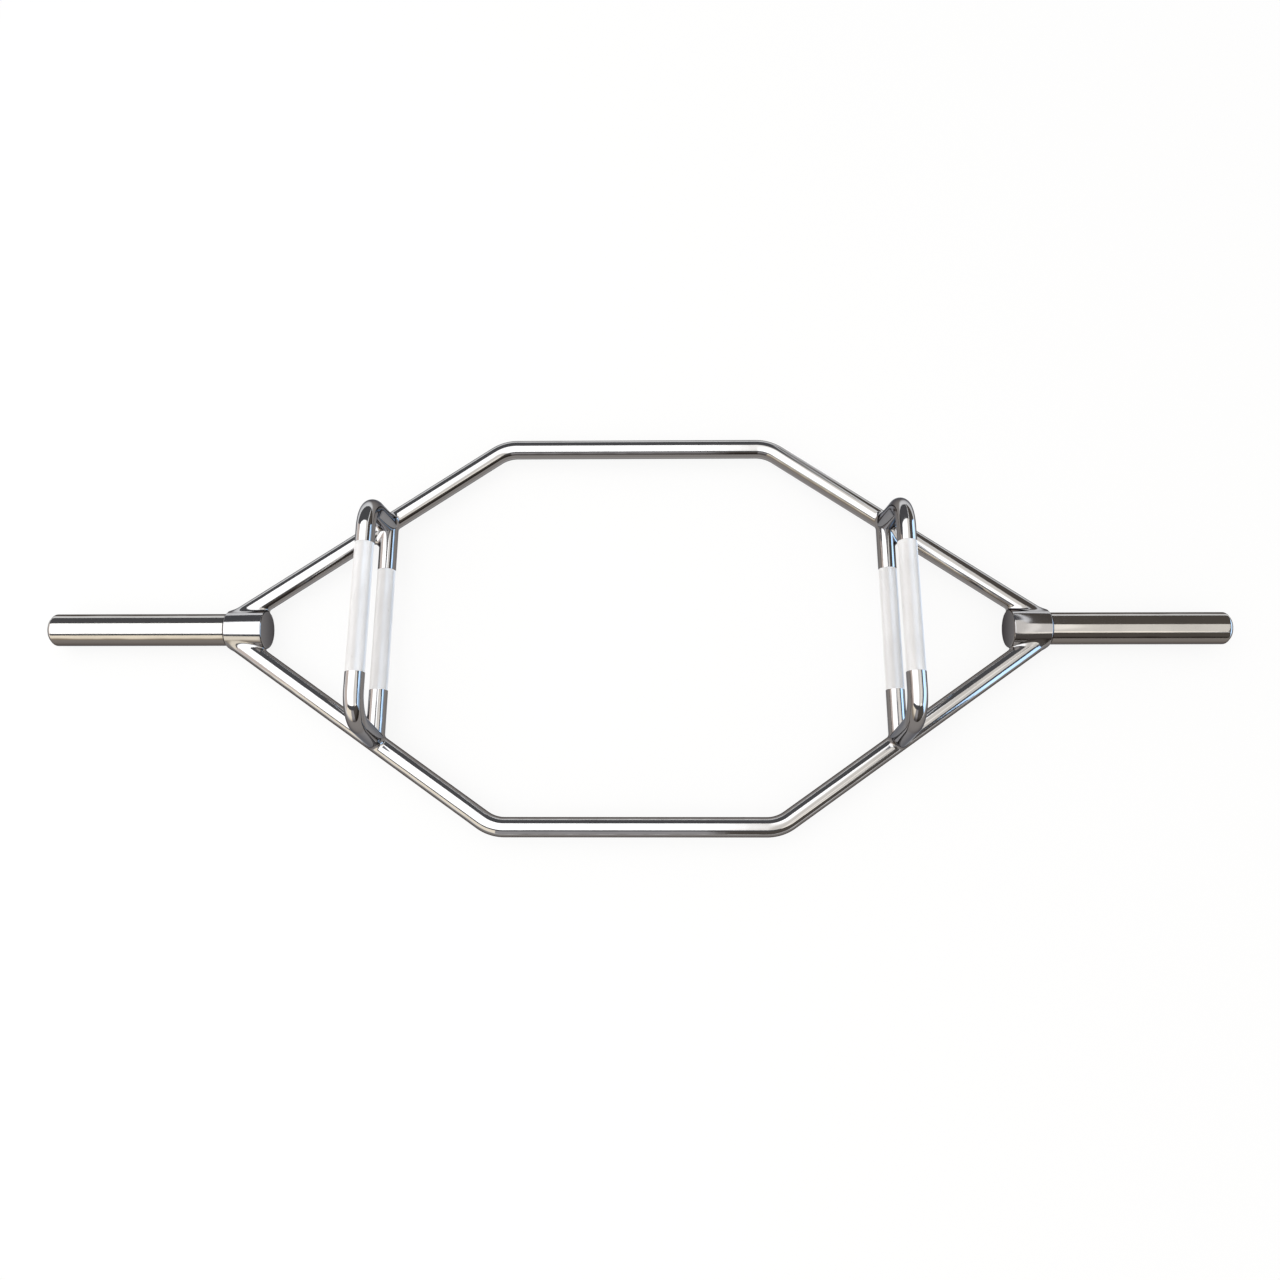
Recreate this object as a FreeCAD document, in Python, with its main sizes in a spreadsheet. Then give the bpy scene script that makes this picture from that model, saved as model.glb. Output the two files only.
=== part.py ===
"""Hex trap bar: a welded hexagon of bent tube with a loading sleeve at each end,
two low handles across it and two raised handles standing over them.

The sleeves lie along X, front to rear is Y and Z is up. The origin is on the floor
under the middle of the hexagon. The rear and right-hand pieces are modelled,
and the front and left-hand ones are their mirror images.
"""
import FreeCAD, Part
import os
import Sketcher
from FreeCAD import Placement, Rotation, Vector
from math import pi, tan

OUT_FOLDER = "parts"
ALONG_X = Rotation(Vector(0, 0, 1), Vector(1, 0, 0))
ALONG_Y = Rotation(Vector(0, 0, 1), Vector(0, 1, 0))
SIDE_TO_SIDE = Vector(1, 0, 0)
FRONT_TO_REAR = Vector(0, 1, 0)

# Driving sizes: lengths in millimetres, angles in degrees.
SIZES = {
    "frame_depth": 610.0,         # front run to rear run, between centre lines
    "corner_spacing": 427.0,      # between the two corners of one run
    "splay_angle": 34.8,          # slanted run, from the sleeves' axis
    "tube_diameter": 30.0,
    "tube_wall": 3.0,
    "tube_bend_radius": 60.0,     # to the centre line
    "collar_diameter": 60.0,      # stub that the tubes are welded to, and that stops the plates
    "collar_length": 61.0,
    "collar_chamfer": 3.0,        # at the sleeve
    "collar_edge": 1.5,           # broken edge of the inner face
    "sleeve_diameter": 50.0,
    "sleeve_length": 275.8,       # collar to outer end
    "sleeve_wall": 5.0,
    "spigot_length": 40.0,        # collar's spigot, inside the sleeve
    "spigot_clearance": 0.05,     # radial, in the sleeve's bore
    "plug_flange": 10.0,          # part of the end plug that closes the sleeve
    "plug_spigot_length": 18.0,
    "plug_chamfer": 5.0,          # leads the plates on
    "handle_spacing": 795.0,      # left handles to right handles, between centre lines
    "handle_diameter": 28.5,
    "grip_length": 195.0,         # knurled band in the middle of each handle
    "knurl_depth": 0.4,           # the band is cut to the root of its knurling
    "raised_height": 127.0,       # low handle to raised handle, between centre lines
    "raised_bend_radius": 45.0,   # to the centre line
    "foot_inset": 2.0,            # raised handle's feet, from the ends of the low handle
    "leg_lean": 6.0,              # raised handle's legs, from upright
    "collar_weld_leg": 7.0,
    "low_weld_radius": 8.0,
    "foot_weld_radius": 7.0,
    "cut_overrun": 20.0,          # how far a cutting tool passes what it cuts
}

# Sizes that follow from the driving ones.
FORMULAS = {
    "collar_radius": "Sizes.collar_diameter / 2",
    "axis_height": "collar_radius",
    "run_offset": "Sizes.frame_depth / 2",
    "corner_x": "Sizes.corner_spacing / 2",
    "splay_slope": "tan(Sizes.splay_angle)",
    "cross_x": "corner_x + run_offset / splay_slope",
    "tube_bore": "Sizes.tube_diameter - 2 * Sizes.tube_wall",
    "collar_middle": "corner_x + (run_offset - collar_radius) / splay_slope",
    "collar_inner": "collar_middle - Sizes.collar_length / 2",
    "collar_outer": "collar_middle + Sizes.collar_length / 2",
    "chamfer_start": "collar_outer - Sizes.collar_chamfer",
    "chamfer_end_radius": "collar_radius - Sizes.collar_chamfer",
    "sleeve_radius": "Sizes.sleeve_diameter / 2",
    "bore_radius": "sleeve_radius - Sizes.sleeve_wall",
    "spigot_radius": "bore_radius - Sizes.spigot_clearance",
    "spigot_end": "collar_outer + Sizes.spigot_length",
    "sleeve_end": "collar_outer + Sizes.sleeve_length",
    "flange_start": "sleeve_end - Sizes.plug_flange",
    "plug_start": "flange_start - Sizes.plug_spigot_length",
    "handle_x": "Sizes.handle_spacing / 2",
    "handle_y": "run_offset - (handle_x - corner_x) * splay_slope",
    "foot_y": "handle_y - Sizes.foot_inset",
    "raised_corner": "foot_y - Sizes.raised_height * tan(Sizes.leg_lean)",
    "knurl_root": "Sizes.handle_diameter - 2 * Sizes.knurl_depth",
    "knurl_tool": "Sizes.handle_diameter + Sizes.cut_overrun",
    "grip_half": "Sizes.grip_length / 2",
    "weld_start": "collar_inner + Sizes.collar_edge",
    "axis_reach": "cross_x + Sizes.cut_overrun",
}

doc = FreeCAD.newDocument("hex_trap_bar")


def fill_sheet(name, rows):
    """A sheet with one named cell for each row."""
    sheet = doc.addObject("Spreadsheet::Sheet", name)
    for number, (alias, text) in enumerate(rows, start=1):
        sheet.set(f"A{number}", alias)
        sheet.set(f"B{number}", text)
        sheet.setAlias(f"B{number}", alias)
        doc.recompute()


def size(cell):
    """The number in a cell, such as Sizes.tube_wall."""
    sheet, alias = cell.split(".")
    return float(getattr(doc.getObject(sheet), alias))


# Sketches and bodies.

def new_body(name, at_x=None):
    """A body with its origin at the height of the sleeves' axis."""
    body = doc.addObject("PartDesign::Body", name)
    body.setExpression("Placement.Base.z", "Derived.axis_height")
    if at_x:
        body.setExpression("Placement.Base.x", at_x)
    return body


def datum(body, role):
    """One of the body's own origin planes or axes."""
    return next(feature for feature in body.Origin.OriginFeatures if feature.Role == role)


def new_sketch(body, name, role):
    """A sketch on one of the body's own origin planes."""
    sketch = body.newObject("Sketcher::SketchObject", name)
    sketch.AttachmentSupport = (datum(body, role), [""])
    sketch.MapMode = "FlatFace"
    return sketch


def dimension(sketch, cell, kind, *places):
    """A dimension of a sketch, bound to a cell."""
    number = sketch.addConstraint(Sketcher.Constraint(kind, *places, size(cell)))
    sketch.setExpression(f"Constraints[{number}]", cell)


def half_path(body, role, rise, corner, reach, radius):
    """Half a bent bar's centre line: level from the middle at the rise, then round the corner
    and down to the reach on the level axis."""
    sketch = new_sketch(body, body.Name + "_path", role)
    top, turn, end, bend = size(rise), size(corner), size(reach), size(radius)
    fall = Vector(end - turn, -top, 0).normalize()
    bend_angle = fall.getAngle(Vector(1, 0, 0))
    tangent = bend * tan(bend_angle / 2)
    vertex = Vector(turn, top, 0)
    before = vertex - Vector(tangent, 0, 0)
    after = vertex + fall * tangent
    centre = before - Vector(0, bend, 0)
    arc = Part.ArcOfCircle(Part.Circle(centre, Vector(0, 0, 1), bend), pi / 2 - bend_angle, pi / 2)
    sketch.addGeometry(Part.LineSegment(Vector(0, top, 0), before), False)
    sketch.addGeometry(arc, False)
    sketch.addGeometry(Part.LineSegment(after, Vector(end, 0, 0)), False)
    sketch.addGeometry(Part.Point(vertex), True)
    for kind, *places in (
        ("Tangent", 0, 2, 1, 2),
        ("Tangent", 1, 1, 2, 1),
        ("PointOnObject", 0, 1, -2),
        ("Horizontal", 0),
        ("PointOnObject", 2, 2, -1),
        ("PointOnObject", 3, 1, 0),
        ("PointOnObject", 3, 1, 2),
    ):
        sketch.addConstraint(Sketcher.Constraint(kind, *places))
    dimension(sketch, rise, "DistanceY", -1, 1, 0, 1)
    dimension(sketch, corner, "DistanceX", -1, 1, 3, 1)
    dimension(sketch, reach, "DistanceX", -1, 1, 2, 2)
    dimension(sketch, radius, "Radius", 1)
    return sketch


def section(body, role, sideways, rise, diameters):
    """A bar's round section, or a tube's two, at the start of its path."""
    sketch = new_sketch(body, body.Name + "_section", role)
    centre = Vector(size(rise), 0, 0) if sideways else Vector(0, size(rise), 0)
    for cell in diameters:
        number = sketch.addGeometry(Part.Circle(centre, Vector(0, 0, 1), size(cell) / 2), False)
        sketch.addConstraint(Sketcher.Constraint("PointOnObject", number, 3, -1 if sideways else -2))
        dimension(sketch, rise, "DistanceX" if sideways else "DistanceY", -1, 1, number, 3)
        dimension(sketch, cell, "Diameter", number)
    return sketch


def bent_bar(body, path, profile, mirror_role):
    """Sweeps the section along the half path and mirrors it into the whole bar."""
    sweep = body.newObject("PartDesign::AdditivePipe", body.Name + "_sweep")
    sweep.Profile = profile
    sweep.Spine = (path, ["Edge1", "Edge2", "Edge3"])
    doc.recompute()
    whole = body.newObject("PartDesign::Mirrored", body.Name + "_whole")
    whole.Originals = [sweep]
    whole.MirrorPlane = (datum(body, mirror_role), [""])
    body.Tip = whole
    doc.recompute()


def turned(body, corners):
    """A piece turned about the sleeves' axis, from the corners of half its section."""
    sketch = new_sketch(body, body.Name + "_outline", "XZ_Plane")
    points = [Vector(size(along), size(out) if out else 0, 0) for along, out in corners]
    count = len(points)
    for number in range(count):
        sketch.addGeometry(Part.LineSegment(points[number], points[(number + 1) % count]), False)
    for number, (along, out) in enumerate(corners):
        before = (number - 1) % count
        sketch.addConstraint(Sketcher.Constraint("Coincident", before, 2, number, 1))
        dimension(sketch, along, "DistanceX", -1, 1, number, 1)
        if out:
            dimension(sketch, out, "DistanceY", -1, 1, number, 1)
        else:
            sketch.addConstraint(Sketcher.Constraint("PointOnObject", number, 1, -1))
    solid = body.newObject("PartDesign::Revolution", body.Name + "_turned")
    solid.Profile = sketch
    solid.ReferenceAxis = (datum(body, "X_Axis"), [""])
    doc.recompute()
    return solid


def break_rim(body, base, place, width):
    """Chamfers the outermost edge of a turned piece at a place along its axis."""
    rims = []
    for number, edge in enumerate(base.Shape.Edges, start=1):
        if isinstance(edge.Curve, Part.Circle):
            if abs(edge.Curve.Center.x - size(place)) < Part.Precision.confusion():
                rims.append((edge.Curve.Radius, f"Edge{number}"))
    rim = body.newObject("PartDesign::Chamfer", body.Name + "_rim")
    rim.Base = (base, [max(rims)[1]])
    rim.setExpression("Size", width)
    doc.recompute()


# Tools that stand for whole bars where pieces are cut or welded to each other.

def cylinder(name, diameter, half_length, direction):
    """A plain round bar at the height of the sleeves' axis, before its length is centred."""
    bar = doc.addObject("Part::Cylinder", name)
    bar.Placement = Placement(Vector(0, 0, 0), direction)
    bar.setExpression("Radius", f"{diameter} / 2")
    bar.setExpression("Height", f"2 * {half_length}")
    bar.setExpression("Placement.Base.z", "Derived.axis_height")
    return bar


def axis_cylinder(name, diameter, half_length):
    """A bar along the sleeves' axis, centred side to side."""
    bar = cylinder(name, diameter, half_length, ALONG_X)
    bar.setExpression("Placement.Base.x", f"-{half_length}")
    return bar


def handle_cylinder(name, diameter, half_length, rise=None):
    """A bar along the right handles, centred front to rear, at a rise over the sleeves' axis."""
    bar = cylinder(name, diameter, half_length, ALONG_Y)
    bar.setExpression("Placement.Base.x", "Derived.handle_x")
    bar.setExpression("Placement.Base.y", f"-{half_length}")
    if rise:
        bar.setExpression("Placement.Base.z", f"Derived.axis_height + {rise}")
    return bar


def knurl_ring(name, rise=None):
    """What the knurled band of a right handle loses, down to the root of its knurling."""
    outside = handle_cylinder(name + "_outside", "Derived.knurl_tool", "Derived.grip_half", rise)
    root = handle_cylinder(name + "_root", "Derived.knurl_root", "Derived.grip_half", rise)
    return combine("Part::Cut", name, outside, root)


def combine(kind, name, base, tool):
    """A boolean of two objects."""
    result = doc.addObject(kind, name)
    result.Base = base
    result.Tool = tool
    doc.recompute()
    return result


def cut_by(name, base, tools):
    """Takes several tools from a piece."""
    for number, tool in enumerate(tools, start=1):
        base = combine("Part::Cut", f"{name}_cut_{number}", base, tool)
    base.Label = name
    return base


def seam_edges(shape):
    """Numbers of the edges at the rear right along which two round bars meet at an angle."""
    numbers = []
    for number, edge in enumerate(shape.Edges, start=1):
        faces = shape.ancestorsOfType(edge, Part.Face)
        axes = [face.Surface.Axis for face in faces if isinstance(face.Surface, Part.Cylinder)]
        middle = edge.CenterOfMass
        if len(axes) == 2 and axes[0].cross(axes[1]).Length > Part.Precision.confusion():
            if middle.x > 0 and middle.y > 0:
                numbers.append(number)
    return numbers


def weld(name, kind, first, second, cell):
    """A weld in the corner between two bars: flat with equal legs, or hollow with one radius."""
    joint = combine("Part::Fuse", name + "_joint", first, second)
    filled = doc.addObject(kind, name + "_filled")
    filled.Base = joint
    filled.Edges = [(number, size(cell), size(cell)) for number in seam_edges(joint.Shape)]
    doc.recompute()
    return combine("Part::Cut", name + "_bead", filled, joint)


# The pieces.

def frame_bar(name, diameters):
    """The rear frame tube's form, hollow or solid."""
    body = new_body(name)
    path = half_path(body, "XY_Plane", "Derived.run_offset", "Derived.corner_x", "Derived.cross_x",
                     "Sizes.tube_bend_radius")
    profile = section(body, "YZ_Plane", True, "Derived.run_offset", diameters)
    bent_bar(body, path, profile, "YZ_Plane")
    return body


def raised_bar(name):
    """The right raised handle before its feet are cut to the frame."""
    body = new_body(name, "Derived.handle_x")
    path = half_path(body, "YZ_Plane", "Sizes.raised_height", "Derived.raised_corner", "Derived.foot_y",
                     "Sizes.raised_bend_radius")
    profile = section(body, "XZ_Plane", False, "Sizes.raised_height", ["Sizes.handle_diameter"])
    bent_bar(body, path, profile, "XZ_Plane")
    return body


def collar():
    """The right collar: a stub with a spigot for the sleeve."""
    body = new_body("right_collar")
    stub = turned(body, [
        ("Derived.collar_inner", None),
        ("Derived.collar_inner", "Derived.collar_radius"),
        ("Derived.chamfer_start", "Derived.collar_radius"),
        ("Derived.collar_outer", "Derived.chamfer_end_radius"),
        ("Derived.collar_outer", "Derived.spigot_radius"),
        ("Derived.spigot_end", "Derived.spigot_radius"),
        ("Derived.spigot_end", None),
    ])
    break_rim(body, stub, "Derived.collar_inner", "Sizes.collar_edge")
    return body


def sleeve():
    """The right sleeve: the tube that plates slide on."""
    body = new_body("right_sleeve")
    turned(body, [
        ("Derived.collar_outer", "Derived.bore_radius"),
        ("Derived.collar_outer", "Derived.sleeve_radius"),
        ("Derived.flange_start", "Derived.sleeve_radius"),
        ("Derived.flange_start", "Derived.bore_radius"),
    ])
    return body


def sleeve_plug():
    """The right sleeve's end plug, with its chamfered rim."""
    body = new_body("right_sleeve_plug")
    plug = turned(body, [
        ("Derived.plug_start", None),
        ("Derived.plug_start", "Derived.spigot_radius"),
        ("Derived.flange_start", "Derived.spigot_radius"),
        ("Derived.flange_start", "Derived.sleeve_radius"),
        ("Derived.sleeve_end", "Derived.sleeve_radius"),
        ("Derived.sleeve_end", None),
    ])
    break_rim(body, plug, "Derived.sleeve_end", "Sizes.plug_chamfer")
    return body


def mirrored(source, name, normal):
    """A piece's mirror image through the middle of the bar."""
    image = doc.addObject("Part::Mirroring", name)
    image.Source = source
    image.Normal = normal
    image.Label = name
    doc.recompute()
    return image


def with_mirror(beads, normal, ending):
    """Welds and their mirror images."""
    return beads + [mirrored(bead, bead.Label + ending, normal) for bead in beads]


def group(name, beads):
    """Separate welds kept as one group."""
    whole = doc.addObject("Part::Compound", name)
    whole.Links = beads
    doc.recompute()
    return whole


def build():
    """Makes every piece and returns those that are kept."""
    fill_sheet("Sizes", [(alias, str(number)) for alias, number in SIZES.items()])
    fill_sheet("Derived", [(alias, "=" + formula) for alias, formula in FORMULAS.items()])

    # Whole bars.
    rear_bar = frame_bar("rear_bar", ["Sizes.tube_diameter"])
    rear_tube = frame_bar("rear_tube", ["Sizes.tube_diameter", "Derived.tube_bore"])
    front_bar = mirrored(rear_bar, "front_bar", FRONT_TO_REAR)
    axis_bar = axis_cylinder("axis_bar", "Sizes.collar_diameter", "Derived.axis_reach")
    low_bar = handle_cylinder("low_bar", "Sizes.handle_diameter", "Derived.handle_y")
    high_bar = raised_bar("high_bar")
    low_ring = knurl_ring("low_ring")
    high_ring = knurl_ring("high_ring", "Sizes.raised_height")
    doc.recompute()

    # Rear and right-hand pieces, cut to fit each other.
    rear = [cut_by("rear_frame_tube", rear_tube, [axis_bar])]
    low_handle = cut_by("right_low_handle", low_bar, [rear_bar, front_bar, low_ring])
    raised_handle = cut_by("right_raised_handle", high_bar, [rear_bar, front_bar, low_bar, high_ring])
    right = [collar(), sleeve(), sleeve_plug(), low_handle, raised_handle]

    # Rear right welds.
    slab = doc.addObject("Part::Box", "weld_slab")
    slab.setExpression("Length", "Derived.chamfer_start - Derived.weld_start")
    slab.setExpression("Width", "Sizes.frame_depth")
    slab.setExpression("Height", "Sizes.collar_diameter")
    slab.setExpression("Placement.Base.x", "Derived.weld_start")
    collar_bead = weld("collar_weld", "Part::Chamfer", rear_bar, axis_bar, "Sizes.collar_weld_leg")
    low_bead = weld("low_weld", "Part::Fillet", rear_bar, low_bar, "Sizes.low_weld_radius")
    foot_bead = weld("foot_weld", "Part::Fillet", rear_bar, high_bar, "Sizes.foot_weld_radius")
    collar_weld = combine("Part::Common", "collar_weld", collar_bead, slab)
    low_weld = cut_by("low_handle_weld", low_bead, [high_bar])
    foot_weld = cut_by("foot_weld", foot_bead, [low_bar, low_bead])
    right.append(group("right_handle_welds", with_mirror([low_weld, foot_weld], FRONT_TO_REAR, "_front")))
    collar_pair = with_mirror([collar_weld], FRONT_TO_REAR, "_front")
    collar_welds = group("collar_welds", with_mirror(collar_pair, SIDE_TO_SIDE, "_left"))

    # Mirror images.
    front = [mirrored(piece, piece.Label.replace("rear", "front"), FRONT_TO_REAR) for piece in rear]
    left = [mirrored(piece, piece.Label.replace("right", "left"), SIDE_TO_SIDE) for piece in right]
    return rear + front + right + left + [collar_welds]


def check_and_write(pieces):
    """Stops on any failed object or bad shape, then writes one file for each piece."""
    for item in doc.Objects:
        if "Invalid" in item.State or "Error" in item.State:
            raise RuntimeError(f"{item.Label} failed to build: {item.State}")
    for piece in pieces:
        if piece.Shape.isNull() or not piece.Shape.isValid():
            raise RuntimeError(f"{piece.Label} has a bad shape")
    os.makedirs(OUT_FOLDER, exist_ok=True)
    for piece in pieces:
        piece.Shape.exportStep(os.path.join(OUT_FOLDER, piece.Label + ".step"))


check_and_write(build())
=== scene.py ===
"""Looks of a hex trap bar: chromed bars, knurled grips, welds and a plain studio.

Laid out as an add-on: sizes and colours are properties, and each operator makes one group of like pieces.
The sleeves lie along X, front to rear is Y and Z is up. All lengths are in metres.
"""
from math import copysign, cos, radians, sin, sqrt, tan

import bmesh
import bpy
from bpy.props import FloatProperty, FloatVectorProperty, IntProperty, PointerProperty
from mathutils import Matrix, Vector


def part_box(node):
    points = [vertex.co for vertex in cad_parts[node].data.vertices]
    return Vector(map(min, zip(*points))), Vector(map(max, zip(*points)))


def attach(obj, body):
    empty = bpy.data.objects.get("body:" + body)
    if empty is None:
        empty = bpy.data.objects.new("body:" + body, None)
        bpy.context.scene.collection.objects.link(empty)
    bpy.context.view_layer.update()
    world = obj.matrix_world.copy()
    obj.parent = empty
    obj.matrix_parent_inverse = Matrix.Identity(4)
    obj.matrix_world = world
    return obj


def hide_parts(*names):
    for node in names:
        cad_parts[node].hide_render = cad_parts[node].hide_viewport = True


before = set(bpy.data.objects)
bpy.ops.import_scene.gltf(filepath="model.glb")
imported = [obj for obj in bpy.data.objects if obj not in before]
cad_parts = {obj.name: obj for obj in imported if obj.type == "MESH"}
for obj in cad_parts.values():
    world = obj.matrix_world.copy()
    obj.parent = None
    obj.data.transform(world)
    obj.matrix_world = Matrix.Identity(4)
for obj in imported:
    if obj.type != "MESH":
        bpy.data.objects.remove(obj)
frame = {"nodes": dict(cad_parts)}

bl_info = {
    "name": "Hex trap bar",
    "version": (1, 0, 0),
    "blender": (4, 5, 0),
    "location": "View3D > Sidebar > Trap bar",
    "description": "Makes the looks of a chromed hex trap bar on its frame",
    "category": "Object",
}

BODY = "root"
SIDES = (("left", -1), ("right", 1))
ENDS = (("front", -1), ("rear", 1))


# Properties.

def length(name, default, description):
    """A property for a length."""
    return FloatProperty(name=name, description=description, default=default, unit="LENGTH", precision=5)


def angle(name, degrees, description):
    """A property for an angle."""
    return FloatProperty(name=name, description=description, default=radians(degrees), subtype="ANGLE")


def camera_size(name, default, description):
    """A property for a size inside the camera, in millimetres."""
    return FloatProperty(name=name, description=description, default=default, unit="CAMERA")


def count(name, default, description):
    """A property for a number of parts."""
    return IntProperty(name=name, description=description, default=default)


def colour(name, default, description):
    """A property for a colour."""
    return FloatVectorProperty(name=name, description=description, size=3, default=default, subtype="COLOR")


def point(name, default, description):
    """A property for a place."""
    return FloatVectorProperty(name=name, description=description, size=3, default=default,
                               subtype="TRANSLATION", unit="LENGTH")


class BarSizes(bpy.types.PropertyGroup):
    """Sizes of the bars."""

    corner_spacing: length("Corner spacing", 0.427, "Between the two corners of a frame tube's middle run")
    frame_depth: length("Frame depth", 0.61, "Front run to rear run, between centre lines")
    splay: angle("Splay", 34.8, "Slanted run of a frame tube, from the sleeves' axis")
    tube_radius: length("Tube radius", 0.015, "Outside radius of a frame tube")
    tube_bend: length("Tube bend", 0.06, "Bend of a frame tube, to its centre line")
    collar_radius: length("Collar radius", 0.03, "Outside radius of a collar")
    collar_chamfer: length("Collar chamfer", 0.003, "Chamfer of a collar at its sleeve")
    collar_edge: length("Collar edge", 0.0015, "Broken edge of a collar's inner face")
    sleeve_radius: length("Sleeve radius", 0.025, "Outside radius of a sleeve")
    bore_radius: length("Bore radius", 0.02, "Inside radius of a sleeve")
    spigot_length: length("Spigot length", 0.04, "Part of a collar inside its sleeve")
    plug_flange: length("Plug flange", 0.01, "Part of an end plug outside its sleeve")
    plug_chamfer: length("Plug chamfer", 0.005, "Chamfer of an end plug")
    handle_spacing: length("Handle spacing", 0.795, "Left handles to right handles, between centre lines")
    handle_radius: length("Handle radius", 0.01425, "Outside radius of a handle")
    raised_height: length("Raised height", 0.127, "Low handle to raised handle, between centre lines")
    raised_bend: length("Raised bend", 0.045, "Bend of a raised handle, to its centre line")
    foot_inset: length("Foot inset", 0.002, "Feet of a raised handle, from the ends of the low one")
    lean: angle("Leg lean", 6.0, "Legs of a raised handle, from upright")
    grip_length: length("Grip length", 0.195, "Knurled band of a handle")
    knurl_depth: length("Knurl depth", 0.0004, "Height of the knurl's points")
    edge_round: length("Edge rounding", 0.0005, "Rounding of a collar's edges")
    weld_width: length("Weld width", 0.0055, "Collar weld on the collar, from the tube")
    weld_rise: length("Weld rise", 0.012, "Collar weld along the tube")


class MeshCounts(bpy.types.PropertyGroup):
    """How finely the pieces are divided."""

    around: count("Around", 60, "Sides of a bar, and starts of its knurl")
    turned_around: count("Turned", 96, "Sides of a turned piece")
    bend_steps: count("Bend steps", 20, "Steps in a bend")
    knurl_rows: count("Knurl rows", 102, "Rows of points along a grip")
    edge_steps: count("Edge steps", 3, "Steps in a rounded edge")
    weld_steps: count("Weld steps", 8, "Steps across a hollow weld")


class FinishColours(bpy.types.PropertyGroup):
    """Colours of the plating, with painted reflection in the colours for sides and undersides."""

    frame: colour("Frame", (0.66, 0.66, 0.67), "Tops of the frame tubes")
    collar: colour("Collars", (0.62, 0.62, 0.64), "Tops of the collars")
    sleeve: colour("Sleeves", (0.68, 0.67, 0.66), "Tops of the sleeves and their plugs")
    handle: colour("Handles", (0.66, 0.66, 0.67), "Tops of the handles beside their grips")
    weld: colour("Welds", (0.62, 0.62, 0.63), "Tops of the welds")
    # Painted reflection: the next four colours go on faces by the way they point, and stand in for the dark
    # surroundings and pale floor that the chrome mirrors.
    sides: colour("Sides", (0.205, 0.19, 0.182), "Sides of the bars, collars and welds")
    sleeve_sides: colour("Sleeve sides", (0.185, 0.165, 0.15), "Sides of the sleeves and their plugs")
    painted_reflection_below: colour("Below", (0.37, 0.36, 0.355), "Undersides and upright faces")
    collar_below: colour("Collars below", (0.24, 0.233, 0.235), "Undersides and upright faces of the collars")
    edge: colour("Edge", (0.2, 0.195, 0.2), "Tint of the bars seen edge-on")
    soft_edge: colour("Soft edge", (0.3, 0.31, 0.34), "Tint of the handles and welds seen edge-on")
    grip: colour("Grips", (0.97, 0.97, 0.978), "Points of the knurling")
    # Scuffs are real wear; the same colour also paints shade into the grooves of the knurling.
    grip_scuff_and_shade: colour("Worn grips", (0.42, 0.4, 0.39), "Scuffs and hollows of the knurling")


class StageSettings(bpy.types.PropertyGroup):
    """Camera, floor and light."""

    camera_at: point("Camera", (0.0253, -0.4104, 1.5383), "Where the camera stands")
    camera_aim: point("Aim", (0.006, -0.0174, 0.03), "What the camera looks at")
    camera_roll: angle("Roll", 0.09, "Turn of the camera about its line of sight")
    lens: camera_size("Lens", 28.125, "Focal length of the camera")
    sensor: camera_size("Sensor", 36.0, "Width of the camera's sensor")
    floor_size: length("Floor", 60.0, "Side of the floor")
    floor_colour: colour("Floor colour", (0.88, 0.875, 0.865), "Colour of the floor")
    ceiling: length("Ceiling", 2.9, "Height of the light panels")
    panel: FloatProperty(name="Panel", description="Brightness of the white panel", default=1.8)
    panel_colour: colour("Panel colour", (1.0, 0.995, 0.985), "Colour of the white panel")
    sky: FloatProperty(name="Surroundings", description="Brightness of the plain surroundings", default=0.88)


# Material nodes.

class Value:
    """An output of a material's nodes, with the usual operators for numbers."""

    def __init__(self, nodes, socket):
        self.nodes, self.socket = nodes, socket

    def __add__(self, other):
        return self.nodes.math("ADD", self, other)

    def __sub__(self, other):
        return self.nodes.math("SUBTRACT", self, other)

    def __rsub__(self, other):
        return self.nodes.math("SUBTRACT", other, self)

    def __mul__(self, other):
        return self.nodes.math("MULTIPLY", self, other)

    __radd__ = __add__
    __rmul__ = __mul__


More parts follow.
